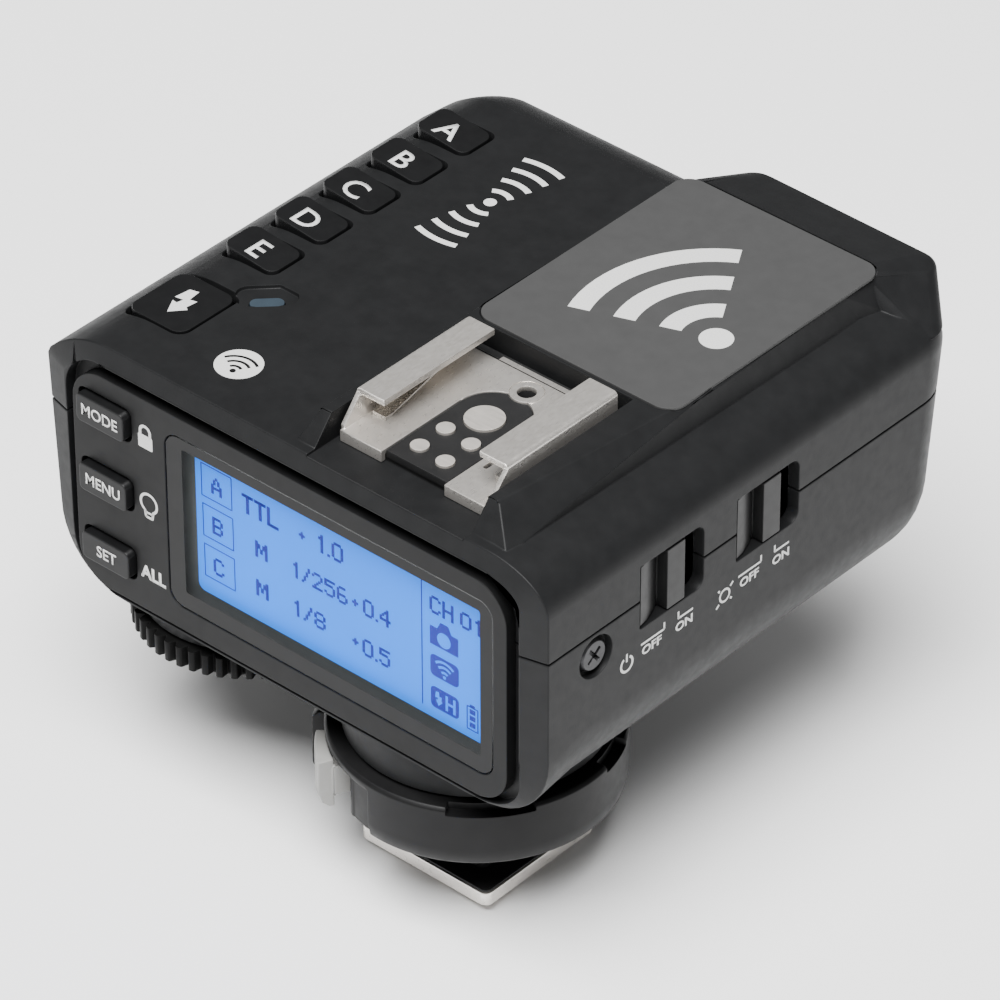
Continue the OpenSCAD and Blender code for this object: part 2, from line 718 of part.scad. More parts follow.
module foot_neck() {
    color([0.12, 0.12, 0.12]) difference() {
        union() {
            plate([-6.25, 6.25], [-6.2, 8.6], [foot_t - sheet_t, 9], 1);
            plate([-foot_w / 2 + 0.2, foot_w / 2 - 0.2], [-foot_l / 2 + 0.2, foot_l / 2 - 0.2],
                [foot_t - sheet_t, foot_t], 0.9);
            tube(12.5, 8.2, [8.9, 10.3]);
            translate([0, 0, 13.6]) cylinder(r = 10.15, h = 8.9, $fn = 96);
            translate([0, 0, 8.9]) cylinder(r = 8.15, h = 5, $fn = 96);
        }
        translate([0, 6.6, -1]) cylinder(r = 1.25, h = 12.5, $fn = 32);
        foot_contact_sites(0.04, -1, 8, "both");
    }
}

module foot_plate() {
    color([0.7, 0.68, 0.67]) difference() {
        plate([-foot_w / 2, foot_w / 2], [-foot_l / 2, foot_l / 2], [0, foot_t - sheet_t], 1);
        translate([0, 6.6, -1]) cylinder(r = 1.25, h = 5, $fn = 32);
        foot_contact_sites(0.4, -1, 4, "both");
    }
}

// Places of the sprung contacts: the centre one, the data ones, or both
module foot_contact_sites(c, z0, z1, which) {
    if (which != "data") translate([0, 0, z0]) cylinder(r = 1.2 + c, h = z1 - z0, $fn = 48);
    if (which != "centre") for (p = data_sites) translate([p[0], p[1], z0]) cylinder(r = 0.6 + c, h = z1 - z0, $fn = 32);
}

module centre_contact() {
    color([0.8, 0.72, 0.45]) foot_contact_sites(0, -0.9, 5, "centre");
}

module data_contacts() {
    color([0.8, 0.72, 0.45]) foot_contact_sites(0, -0.6, 5, "data");
}

// Compression springs above the sprung contacts, drawn as thin sleeves
module contact_sleeves(which) {
    color([0.7, 0.7, 0.7]) difference() {
        foot_contact_sites(-0.06, 5, 8, which);
        foot_contact_sites(-0.3, 4, 9, which);
    }
}

module centre_spring() {
    contact_sleeves("centre");
}

module data_springs() {
    contact_sleeves("data");
}

// ---------- power ----------

module battery_bay() {
    color([0.15, 0.15, 0.15]) difference() {
        box([-43.2, 16.5], [17.0, 46.5], [25.2, 39.2]);
        box([-42.2, 15.5], [18.0, 55], [20, 38.2]);
    }
}

module battery_cells() {
    color([0.2, 0.45, 0.25]) for (k = [0, 1])
        translate([cell_x - cell_len / 2, cell_y[k], cell_z]) rotate([0, 90, 0]) {
            translate([0, 0, k == 0 ? 0 : 1.2]) cylinder(r = cell_r, h = cell_len - 1.2, $fn = 96);
            translate([0, 0, k == 0 ? cell_len - 1.3 : 0]) cylinder(r = 2.6, h = 1.3, $fn = 48);
        }
}

module battery_springs() {
    color([0.75, 0.75, 0.72]) {
        translate([-42.15, cell_y[0], cell_z]) rotate([0, 90, 0]) cylinder(r1 = 4.2, r2 = 2.6, h = 3.5, $fn = 48);
        translate([15.45, cell_y[1], cell_z]) rotate([0, -90, 0]) cylinder(r1 = 4.2, r2 = 2.6, h = 3.5, $fn = 48);
    }
}

module battery_tabs() {
    color([0.8, 0.8, 0.76]) {
        box([12.0, 15.45], [cell_y[0] - 4, cell_y[0] + 4], [cell_z - 4, cell_z + 4]);
        box([-42.15, -38.7], [cell_y[1] - 4, cell_y[1] + 4], [cell_z - 4, cell_z + 4]);
    }
}

module battery_door() {
    color([0.13, 0.13, 0.14]) {
        intersection() {
            low_body();
            box([door[0] + 0.15, door[1] - 0.15], [door[2] + 0.15, 60], [0, body_bottom + door_t - 0.1]);
        }
        box([door[0] - 0.7, door[1] + 0.3], [22, 38], [body_bottom + door_t - 0.13, body_bottom + door_t + 0.6]);
        for (k = [0:4]) box([-20, -6.7], [20 + 1.6 * k, 20.8 + 1.6 * k], [body_bottom - 0.1, body_bottom + 1]);
    }
}

// ---------- boards and ports ----------

module main_pcb() {
    color([0.1, 0.35, 0.2]) difference() {
        box([-41.5, 15.0], [-9.2, -7.8], [24.5, 47.5]);
        box([-37.5, -24.8], [-10, -7], [20, 27.4]);
    }
}

module radio_board() {
    color([0.1, 0.35, 0.2]) {
        box([-30.2, 10.6], [14.2, 15.4], [26, 38]);
        box([-28, 8], [13, 14.2], [29, 36]);
    }
}

module antenna() {
    color([0.75, 0.6, 0.3]) box([-30, 6], [18, 19.2], [40.5, 48.5]);
}

module assist_window() {
    color([0.5, 0.05, 0.05, 0.6]) intersection() {
        front_window_space(0);
        low_body();
    }
}

module assist_led() {
    color([0.9, 0.3, 0.3]) translate([-13.35, 49.3, 33]) rotate([90, 0, 0]) cylinder(r = 2.4, h = 0.25, $fn = 48);
}

module sync_jack() {
    color([0.2, 0.2, 0.2]) translate([port_wall_x, jack_pos[0], jack_pos[1]]) rotate([0, 90, 0]) difference() {
        union() {
            cylinder(r = 3.05, h = 3.5, $fn = 48);
            translate([-3.4, -3.4, 3.4]) cube([6.8, 6.8, 9.6]);
        }
        translate([0, 0, -1]) cylinder(r = 1.27, h = 12.5, $fn = 48);
    }
}

module usb_port() {
    color([0.6, 0.6, 0.62]) difference() {
        side_plate([port_pos[0] - 4.47, port_pos[0] + 4.47], [port_pos[1] - 1.6, port_pos[1] + 1.6],
            [port_wall_x + 0.4, port_wall_x + 5.1], 1.5);
        side_plate([port_pos[0] - 4.17, port_pos[0] + 4.17], [port_pos[1] - 1.3, port_pos[1] + 1.3],
            [port_wall_x, port_wall_x + 4.7], 1.2);
    }
    color([0.1, 0.1, 0.1]) box([port_wall_x + 1, port_wall_x + 4.8],
        [port_pos[0] - 3.3, port_pos[0] + 3.3], [port_pos[1] - 0.35, port_pos[1] + 0.35]);
}

bottom_shell();
top_shell();
rear_panel();
lcd_lens();
lcd_module();
keypad_mat();
main_pcb();
radio_board();
antenna();
group_button_a();
group_button_b();
group_button_c();
group_button_d();
group_button_e();
test_button();
status_led_lens();
mode_button();
menu_button();
set_button();
top_plate();
power_switch();
assist_switch();
switch_bodies();
side_screws();
bottom_screws();
shoe_rails();
shoe_springs();
shoe_insulator();
shoe_contacts();
select_dial();
dial_encoder();
foot_collar();
collar_ring();
lock_lever();
lever_grip();
lock_pin();
foot_neck();
foot_plate();
centre_contact();
data_contacts();
centre_spring();
data_springs();
battery_bay();
battery_cells();
battery_springs();
battery_tabs();
battery_door();
assist_window();
assist_led();
sync_jack();
usb_port();
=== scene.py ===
import json
from math import cos, radians, sin, sqrt

import bmesh
import bpy
from mathutils import Matrix, Vector


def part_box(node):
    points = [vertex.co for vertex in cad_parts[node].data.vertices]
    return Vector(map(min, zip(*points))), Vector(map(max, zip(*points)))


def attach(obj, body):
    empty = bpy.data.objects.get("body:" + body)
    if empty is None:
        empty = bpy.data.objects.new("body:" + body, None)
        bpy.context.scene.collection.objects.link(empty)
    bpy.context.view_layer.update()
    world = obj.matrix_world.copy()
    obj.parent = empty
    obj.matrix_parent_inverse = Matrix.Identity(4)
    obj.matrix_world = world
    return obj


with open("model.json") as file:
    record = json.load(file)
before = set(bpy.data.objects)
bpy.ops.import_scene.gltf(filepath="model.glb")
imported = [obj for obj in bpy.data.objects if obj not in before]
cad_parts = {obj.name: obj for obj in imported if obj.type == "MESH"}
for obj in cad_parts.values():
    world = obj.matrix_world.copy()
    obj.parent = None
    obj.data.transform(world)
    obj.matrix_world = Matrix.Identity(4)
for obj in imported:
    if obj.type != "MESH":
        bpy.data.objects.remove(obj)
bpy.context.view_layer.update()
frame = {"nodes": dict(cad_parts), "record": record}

MM = 0.001
CAD = frame["nodes"]

# Seen from the photographer's right and from above
VIEW_AZIMUTH = 41.743
VIEW_ELEVATION = 36.596
VIEW_ROLL = -0.13
VIEW_DISTANCE = 742.68 * MM
VIEW_TARGET = Vector((0, 0, 30 * MM))
VIEW_OFFSET = (2.475 * MM, 12.339 * MM)     # sideways and upwards, in the camera's own plane
VIEW_LENS = 250.05

# Surfaces of the CAD model that carry print, in mm
DECK_Z = 53.85
PANEL_Y = -15
LENS_Y = PANEL_Y + 0.1
LCD_Y = -13.5
SIDE_X = 22.65
GROUP_KEY_EDGE = -35.9                      # right edge of the group keys, where their slant starts
GROUP_KEY_TILT = radians(6.2)

# Printing, in mm
LIFT = 0.005                                # clearance of print above its surface
SLANT_LIFT = 0.03                           # the same on the slanted group keys
REAR_KEY_LIFT = 0.02                        # added to it on the rear keys
INK_THICK = 0.02
CAPITAL = 0.7                               # height of a capital when the font's size is 1

# The floor lies below the sprung contacts, which reach down to -0.9 mm
FLOOR_Z = -1.3


# ---------------------------------------------------------------- materials

class Nodes:
    """Short names for building a material's node tree."""

    def __init__(self, name):
        self.material = bpy.data.materials.new(name)
        self.material.use_nodes = True
        self.tree = self.material.node_tree
        self.shader = self.tree.nodes["Principled BSDF"]
        self.place = self.add("ShaderNodeTexCoord").outputs["Object"]

    def add(self, kind, **settings):
        made = self.tree.nodes.new(kind)
        for key, value in settings.items():
            setattr(made, key, value)
        return made

    def link(self, a, b):
        self.tree.links.new(a, b)

    def noise(self, size, detail=3.0, stretch=None):
        """Noise whose grains are about size across, in metres."""
        made = self.add("ShaderNodeTexNoise")
        made.inputs["Scale"].default_value = 1 / size
        made.inputs["Detail"].default_value = detail
        source = self.place
        if stretch:
            mapping = self.add("ShaderNodeMapping")
            mapping.inputs["Scale"].default_value = stretch
            self.link(self.place, mapping.inputs["Vector"])
            source = mapping.outputs["Vector"]
        self.link(source, made.inputs["Vector"])
        return made.outputs["Fac"]

    def spread(self, value, low, high, start=0.3, end=0.7):
        """Maps the range that noise mostly covers, start to end, to low to high."""
        made = self.add("ShaderNodeMapRange")
        made.inputs["From Min"].default_value = start
        made.inputs["From Max"].default_value = end
        made.inputs["To Min"].default_value = low
        made.inputs["To Max"].default_value = high
        self.link(value, made.inputs["Value"])
        return made.outputs["Result"]

    def mix(self, factor, dark, light):
        """Colour between dark and light."""
        made = self.add("ShaderNodeMix", data_type="RGBA")
        made.inputs["A"].default_value = (*dark, 1)
        made.inputs["B"].default_value = (*light, 1)
        self.link(factor, made.inputs["Factor"])
        return made.outputs["Result"]

    def bump(self, height, depth):
        """Relief of that depth, in metres, driven by height."""
        made = self.add("ShaderNodeBump")
        made.inputs["Distance"].default_value = depth
        made.inputs["Strength"].default_value = 1.0
        self.link(height, made.inputs["Height"])
        self.link(made.outputs["Normal"], self.shader.inputs["Normal"])


def moulded(name, colour, rough, grain=0.16, depth=0.008, vary=0.12, specular=0.5):
    """Moulded plastic or rubber: fine texture, slight mottling, and uneven polish."""
    n = Nodes(name)
    mottle = n.spread(n.noise(2.5 * MM, 4), 0, 1)
    darker = [c * (1 - vary) for c in colour]
    lighter = [c * (1 + vary) for c in colour]
    n.link(n.mix(mottle, darker, lighter), n.shader.inputs["Base Color"])
    n.link(n.spread(n.noise(1.2 * MM, 3), rough - 0.04, rough + 0.04), n.shader.inputs["Roughness"])
    n.shader.inputs["Specular IOR Level"].default_value = specular
    n.bump(n.noise(grain * MM, 2), depth * MM)
    return n.material


def metal(name, colour, rough, scratch=0.05, stretch=(1, 1, 1), depth=0.002, metallic=1.0):
    """Plated or bare metal with fine directional scratches."""
    n = Nodes(name)
    n.shader.inputs["Metallic"].default_value = metallic
    cloud = n.spread(n.noise(1.5 * MM, 4), 0, 1)
    n.link(n.mix(cloud, [c * 0.92 for c in colour], colour), n.shader.inputs["Base Color"])
    lines = n.noise(0.25 * MM, 5, stretch)
    n.link(n.spread(lines, rough, rough + scratch), n.shader.inputs["Roughness"])
    n.bump(lines, depth * MM)
    return n.material


def printed(name, colour):
    """Screen-printed ink with a slightly broken surface."""
    n = Nodes(name)
    speck = n.spread(n.noise(0.14 * MM, 2), 0, 1)
    n.link(n.mix(speck, [c * 0.82 for c in colour], colour), n.shader.inputs["Base Color"])
    n.shader.inputs["Roughness"].default_value = 0.55
    n.bump(n.noise(0.2 * MM, 2), 0.004 * MM)
    return n.material


def backlit(name, colour, glow):
    """A lit surface of the display, with the faint unevenness of its lamps."""
    n = Nodes(name)
    uneven = n.spread(n.noise(12 * MM, 2), 0, 1)
    lit = n.mix(uneven, [c * 0.94 for c in colour], colour)
    n.link(lit, n.shader.inputs["Base Color"])
    n.link(lit, n.shader.inputs["Emission Color"])
    n.shader.inputs["Emission Strength"].default_value = glow
    n.shader.inputs["Specular IOR Level"].default_value = 0.1
    n.shader.inputs["Roughness"].default_value = 0.5
    return n.material


def clear_cover(name):
    """The see-through display cover."""
    n = Nodes(name)
    tint = n.mix(n.noise(3 * MM, 2), (0.02, 0.022, 0.025), (0.03, 0.033, 0.036))
    n.link(tint, n.shader.inputs["Base Color"])
    n.link(n.spread(n.noise(2 * MM, 3), 0.05, 0.09), n.shader.inputs["Roughness"])
    n.shader.inputs["Specular IOR Level"].default_value = 0.15
    n.shader.inputs["Alpha"].default_value = 0.06
    return n.material


def circuit_board(name):
    """Green solder mask over faint tracks."""
    n = Nodes(name)
    tracks = n.add("ShaderNodeTexBrick")
    tracks.inputs["Scale"].default_value = 400
    tracks.inputs["Color1"].default_value = (0.01, 0.1, 0.04, 1)
    tracks.inputs["Color2"].default_value = (0.012, 0.13, 0.05, 1)
    tracks.inputs["Mortar"].default_value = (0.03, 0.2, 0.08, 1)
    n.link(n.place, tracks.inputs["Vector"])
    n.link(tracks.outputs["Color"], n.shader.inputs["Base Color"])
    n.link(n.spread(n.noise(2 * MM), 0.3, 0.42), n.shader.inputs["Roughness"])
    return n.material


MATERIAL = {
    "shell": moulded("shell", (0.0088, 0.0090, 0.0094), 0.46, grain=0.18, depth=0.010, specular=0.13),
    "panel": moulded("panel", (0.0065, 0.0066, 0.0068), 0.40, grain=0.14, depth=0.004, specular=0.1),
    "keycap": moulded("keycap", (0.0052, 0.0053, 0.0056), 0.42, grain=0.12, depth=0.004, specular=0.18),
    "label_plate": moulded("label_plate", (0.040, 0.040, 0.040), 0.50,
                           grain=0.10, depth=0.004, vary=0.04, specular=0.3),
    "lens": clear_cover("lens"),
    "lcd": backlit("lcd", (0.0, 0.21, 1.0), 0.5),
    "led_lens": moulded("led_lens", (0.024, 0.036, 0.048), 0.28, depth=0.002),
    "slider": moulded("slider", (0.006, 0.006, 0.0062), 0.42, grain=0.14, depth=0.004, specular=0.25),
    "screw": metal("screw", (0.05, 0.05, 0.052), 0.38, 0.1),
    "nickel": metal("nickel", (0.78, 0.745, 0.70), 0.26, 0.12, (1, 0.3, 1), depth=0.001, metallic=0.85),
    "contact": metal("contact", (0.70, 0.66, 0.61), 0.38, 0.12, (0.08, 1, 1), metallic=0.75),
    "gold": metal("gold", (0.80, 0.60, 0.28), 0.24, 0.1),
    "insulator": moulded("insulator", (0.0125, 0.0125, 0.0128), 0.46, grain=0.2, depth=0.006, specular=0.2),
    "dial": moulded("dial", (0.004, 0.004, 0.004), 0.42, specular=0.06),
    "collar": moulded("collar", (0.0068, 0.0068, 0.0070), 0.40, grain=0.2, depth=0.003, specular=0.13),
    "lever": moulded("lever", (0.24, 0.238, 0.228), 0.45, grain=0.2, depth=0.004, vary=0.05),
    "spring": metal("spring", (0.60, 0.58, 0.55), 0.22, 0.08),
    "pcb": circuit_board("pcb"),
    "membrane": moulded("membrane", (0.2, 0.2, 0.21), 0.6),
    "cell": moulded("cell", (0.03, 0.14, 0.06), 0.3, depth=0.001),
    "bay": moulded("bay", (0.02, 0.02, 0.02), 0.5),
    "ir_window": moulded("ir_window", (0.05, 0.003, 0.004), 0.12, depth=0.0005),
    "led": moulded("led", (0.6, 0.08, 0.06), 0.25),
    "port": metal("port", (0.5, 0.5, 0.5), 0.25, 0.1),
    "jack": moulded("jack", (0.02, 0.02, 0.02), 0.35),
}
INK = printed("legend_ink", (0.60, 0.60, 0.59))
GLYPH = backlit("display_glyph", (0.012, 0.025, 0.34), 0.16)
BORDER = moulded("display_border", (0.058, 0.063, 0.064), 0.5, grain=0.2, depth=0.001)
MASK = moulded("display_mask", (0.0065, 0.0066, 0.0068), 0.34, depth=0.0005, specular=0.13)


# ---------------------------------------------------------------- CAD nodes

def sharp_by_angle(angle):
    """A modifier tree that shades smooth everywhere but over edges sharper than angle."""
    tree = bpy.data.node_groups.new("smooth_by_angle", "GeometryNodeTree")
    tree.interface.new_socket("Geometry", in_out="INPUT", socket_type="NodeSocketGeometry")
    tree.interface.new_socket("Geometry", in_out="OUTPUT", socket_type="NodeSocketGeometry")
    start = tree.nodes.new("NodeGroupInput")
    end = tree.nodes.new("NodeGroupOutput")
    faces = tree.nodes.new("GeometryNodeSetShadeSmooth")
    edges = tree.nodes.new("GeometryNodeSetShadeSmooth")
    edges.domain = "EDGE"
    between = tree.nodes.new("GeometryNodeInputMeshEdgeAngle")
    small = tree.nodes.new("FunctionNodeCompare")
    small.operation = "LESS_THAN"
    small.inputs["B"].default_value = angle
    tree.links.new(between.outputs["Unsigned Angle"], small.inputs["A"])
    tree.links.new(start.outputs[0], faces.inputs["Geometry"])
    tree.links.new(faces.outputs[0], edges.inputs["Geometry"])
    tree.links.new(small.outputs["Result"], edges.inputs["Shade Smooth"])
    tree.links.new(edges.outputs[0], end.inputs[0])
    return tree


SMOOTHING = sharp_by_angle(radians(38))


def soften(obj, width, segments=2):
    """Welds the facets of a CAD solid, rounds its edges by width in mm, and shades it smoothly."""
    if obj.data.has_custom_normals:
        obj.data.attributes.remove(obj.data.attributes["custom_normal"])
    weld = obj.modifiers.new("weld", "WELD")
    weld.merge_threshold = 0.002 * MM
    flat = obj.modifiers.new("flat", "DECIMATE")
    flat.decimate_type = "DISSOLVE"
    flat.angle_limit = radians(0.6)
    if width:
        edge = obj.modifiers.new("edge", "BEVEL")
        edge.width = width * MM
        edge.segments = segments
        edge.limit_method = "ANGLE"
        edge.angle_limit = radians(32)
        edge.use_clamp_overlap = False
        edge.miter_outer = "MITER_ARC"
    shade = obj.modifiers.new("shade", "NODES")
    shade.node_group = SMOOTHING
    even = obj.modifiers.new("even", "WEIGHTED_NORMAL")
    even.mode = "FACE_AREA"
    even.weight = 50
    even.keep_sharp = True


# Width of the rounded edges of each CAD node, in mm
EDGE = {"top_shell": 0.16, "bottom_shell": 0.16, "rear_panel": 0.14, "shoe_rails": 0.12,
        "shoe_insulator": 0.1, "foot_plate": 0.18, "foot_collar": 0.12, "lock_lever": 0.25,
        "lever_grip": 0.25, "select_dial": 0.08, "top_plate": 0.08, "foot_neck": 0.15,
        "power_switch": 0.1, "assist_switch": 0.1, "battery_door": 0.12, "shoe_contacts": 0.06,
        "side_screws": 0.05, "status_led_lens": 0.1}
KEY_EDGE = 0.22


def dress_cad_nodes():
    """Materials and rounded edges for the solids that come from CAD."""
    slot_of = {s["node"]: s["material_slot"] for s in frame["record"]["subparts"]}
    for name, obj in CAD.items():
        obj.data.materials.clear()
        obj.data.materials.append(BORDER if name == "lcd_module" else MATERIAL[slot_of[name]])
        soften(obj, KEY_EDGE if "button" in name else EDGE.get(name, 0))


# ---------------------------------------------------------------- flat shapes and legends

def arc(centre, radius, start, end, steps=24):
    """Points along an arc, angles in degrees."""
    return [(centre[0] + radius * cos(radians(start + (end - start) * i / steps)),
             centre[1] + radius * sin(radians(start + (end - start) * i / steps))) for i in range(steps + 1)]


def stroke(points, width):
    """Quads of a line of that width through the points."""
    quads = []
    for a, b in zip(points, points[1:]):
        along = Vector((b[0] - a[0], b[1] - a[1])).normalized() * width / 2
        side = Vector((-along.y, along.x))
        a2 = Vector(a) - along * 0.2
        b2 = Vector(b) + along * 0.2
        quads.append([a2 + side, a2 - side, b2 - side, b2 + side])
    return quads


def ring(centre, radius, width, start=0, end=360, steps=36):
    """Quads of a curved line of that width."""
    inner = arc(centre, radius - width / 2, start, end, steps)
    outer = arc(centre, radius + width / 2, start, end, steps)
    return [[inner[i], inner[i + 1], outer[i + 1], outer[i]] for i in range(steps)]


def rectangle(x0, y0, x1, y1):
    return [(x0, y0), (x1, y0), (x1, y1), (x0, y1)]


def rounded(x0, y0, x1, y1, r, steps=6):
    """Outline of a rectangle with rounded corners."""
    return (arc((x1 - r, y1 - r), r, 0, 90, steps) + arc((x0 + r, y1 - r), r, 90, 180, steps)
            + arc((x0 + r, y0 + r), r, 180, 270, steps) + arc((x1 - r, y0 + r), r, 270, 360, steps))


def facing(origin, right, up):
    """Matrix that puts a flat drawing, in mm, on a surface whose right and up directions are given."""
    right, up = Vector(right).normalized(), Vector(up).normalized()
    turn = Matrix((right, up, right.cross(up))).transposed().to_4x4()
    return Matrix.Translation(Vector(origin) * MM) @ turn @ Matrix.Scale(MM, 4)


def piece(name, mesh, material, body):
    """Adds the mesh as a piece that moves with the body and carries the given material."""
    obj = bpy.data.objects.new(name, mesh)
    bpy.context.scene.collection.objects.link(obj)
    mesh.materials.append(material)
    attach(obj, body)
    return obj


def plates(name, polygons, place, thick, material, body):
    """Thin plates cut to the given outlines; place comes from facing()."""
    bm = bmesh.new()
    for outline in polygons:
        low = [bm.verts.new((p[0], p[1], 0)) for p in outline]
        high = [bm.verts.new((p[0], p[1], thick)) for p in outline]
        bm.faces.new(list(reversed(low)))
        bm.faces.new(high)
        for i in range(len(low)):
            j = (i + 1) % len(low)
            bm.faces.new((low[i], low[j], high[j], high[i]))
    bmesh.ops.recalc_face_normals(bm, faces=bm.faces)
    bm.transform(place)
    mesh = bpy.data.meshes.new(name)
    bm.to_mesh(mesh)
    bm.free()
    return piece(name, mesh, material, body)


def lettering(name, words, place, height, body, squeeze=1.0, bold=0.03, thick=INK_THICK):
    """Printed words of capital height in mm, centred on the place."""
    curve = bpy.data.curves.new(name, "FONT")
    curve.body = words
    curve.align_x = "CENTER"
    curve.align_y = "CENTER"
    curve.offset = bold
    curve.resolution_u = 4
    holder = bpy.data.objects.new(name + "_outline", curve)
    bpy.context.scene.collection.objects.link(holder)
    bpy.context.view_layer.update()
    outline = holder.evaluated_get(bpy.context.evaluated_depsgraph_get())
    mesh = bpy.data.meshes.new_from_object(outline)
    bpy.data.objects.remove(holder)
    size = height / CAPITAL
    bm = bmesh.new()
    bm.from_mesh(mesh)
    bm.transform(Matrix.Diagonal((size * squeeze, size, 1, 1)))
    ys = [v.co.y for v in bm.verts]
    bmesh.ops.translate(bm, verts=bm.verts, vec=(0, -(max(ys) + min(ys)) / 2, 0))
    raised = bmesh.ops.extrude_face_region(bm, geom=list(bm.faces))
    top = [g for g in raised["geom"] if isinstance(g, bmesh.types.BMVert)]
    bmesh.ops.translate(bm, verts=top, vec=(0, 0, thick))
    bmesh.ops.recalc_face_normals(bm, faces=bm.faces)
    bm.transform(place)
    mesh = bpy.data.meshes.new(name)
    bm.to_mesh(mesh)
    bm.free()
    mesh.materials.clear()
    return piece(name, mesh, INK, body)


def on_top(x, y, z):
    """Place on a surface that faces up, at that height."""
    return facing((x, y, z + LIFT), (1, 0, 0), (0, 1, 0))


def on_rear(x, z, y):
    """Place on a surface that faces the user, at that Y."""
    return facing((x, y - LIFT, z), (1, 0, 0), (0, 0, 1))


def on_right(y, z, x):
    """Place on a surface that faces right, at that X."""
    return facing((x + LIFT, y, z), (0, 1, 0), (0, 0, 1))


def span(node):
    """Middle, low corner and high corner of a CAD node, in mm."""
    low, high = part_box(node)
    return (low + high) / 2 / MM, low / MM, high / MM


def bolt(x=0, y=0, s=1.0):
    """A flash arrow that points down and slightly to the left."""
    points = [(-1.05, 2.15), (0.05, 2.45), (0.25, 0.75), (1.15, 1.0), (0.95, -0.5), (1.4, -0.8),
              (-0.05, -2.45), (-1.1, -0.5), (-0.45, -0.55), (-0.25, 0.3), (-1.35, 0.1)]
    return [(x + s * px, y + s * py) for px, py in points]


def waves(x, y, radius, width, count=3, middle=90, spread=42):
    """Arcs spreading from a point, the usual sign for radio."""
    shapes = []
    for i in range(1, count + 1):
        shapes += ring((x, y), radius * i / count, width, middle - spread, middle + spread, 16)
    return shapes


def frame_of(outer, inner):
    """Quads between two outlines with the same number of points."""
    n = len(outer)
    return [[inner[i], inner[(i + 1) % n], outer[(i + 1) % n], outer[i]] for i in range(n)]


def group_key_letters():
    for letter in "abcde":
        centre = span("group_button_" + letter)[0]
        x = centre.x - 0.25
        rise = (GROUP_KEY_EDGE - x) * sin(GROUP_KEY_TILT) / cos(GROUP_KEY_TILT)
        along = (cos(GROUP_KEY_TILT), 0, -sin(GROUP_KEY_TILT))
        place = facing((x, centre.y - 0.45, DECK_Z + rise + SLANT_LIFT), along, (0, 1, 0))
        lettering("legend_" + letter, letter.upper(), place, 2.95, "group_key_" + letter,
                  bold=0.012, thick=0.04)


def test_key_sign():
    centre, _, high = span("test_button")
    place = on_top(centre.x + 0.05, centre.y + 0.1, high.z)
    plates("legend_test", [bolt()], place, INK_THICK, INK, "test_key")


def radio_badge():
    """Round badge on the deck with radio waves in it."""
    x, y, thick = -27.4, -7.2, 0.03
    disc = arc((0, 0), 2.7, 0, 360, 48)[:-1]
    plates("radio_disc", [disc], on_top(x, y, DECK_Z), thick, INK, "housing")
    sign = waves(0, -1.35, 2.7, 0.34, 3, 90, 48) + [arc((0, -1.35), 0.36, 0, 360, 16)[:-1]]
    turned = facing((x, y, DECK_Z + thick + LIFT), (1, 0.25, 0), (-0.25, 1, 0))
    plates("radio_sign", sign, turned, INK_THICK, MATERIAL["panel"], "housing")


def deck_mark():
    """A dot with four waves to each side, shorter as they spread."""
    shapes = [arc((0, 0), 0.75, 0, 360, 20)[:-1]]
    for side in (0, 180):
        for i in range(1, 5):
            half = 46 / sqrt(i * 1.6)
            shapes += ring((0, 0), 2.3 * i, 0.75, side - half, side + half, 14)
    place = facing((-27.8, 33.4, DECK_Z + LIFT), (0, 1, 0), (-1, 0, 0))
    plates("deck_mark", shapes, place, INK_THICK, INK, "housing")


def plate_mark():
    """Large radio waves on the label plate."""
    top = span("top_plate")[2].z
    sign = waves(0, 0, 15.6, 2.5, 3, 90, 40) + [arc((0, 0), 1.9, 0, 360, 32)[:-1]]
    place = facing((10.6, 26.4, top + LIFT), (0.35, 1, 0), (-1, 0.35, 0))
    plates("plate_mark", sign, place, INK_THICK, INK, "housing")


def rear_key_words():
    for name, x, z in (("mode", -40.1, 45.48), ("menu", -40.0, 36.25), ("set", -39.9, 27.0)):
        front = span(name + "_button")[1].y
        place = on_rear(x, z, front - REAR_KEY_LIFT)
        lettering("legend_" + name, name.upper(), place, 1.42, name + "_key",
                  squeeze=0.95, bold=0.015)


def rear_signs():
    """Padlock, lamp and ALL on the rear panel, beside the keys."""
    panel = on_rear(0, 0, PANEL_Y)
    lock = [rounded(-35.15, 43.75, -33.05, 45.5, 0.2)] + ring((-34.1, 45.95), 0.72, 0.36, 0, 180, 16)
    for x in (-34.82, -33.38):
        lock += stroke([(x, 45.95), (x, 45.5)], 0.36)
    plates("legend_lock", lock, panel, INK_THICK, INK, "housing")
    lamp = ring((-33.93, 36.5), 1.2, 0.32, -58, 238, 30)
    lamp += stroke([(-34.55, 35.5), (-34.4, 34.6), (-33.46, 34.6), (-33.31, 35.5)], 0.32)
    lamp += stroke([(-34.5, 35.2), (-33.36, 35.2)], 0.26)
    plates("legend_lamp", lamp, panel, INK_THICK, INK, "housing")
    lettering("legend_all", "ALL", on_rear(-33.65, 26.9, PANEL_Y), 1.6, "housing",
              squeeze=0.95, bold=0.04)


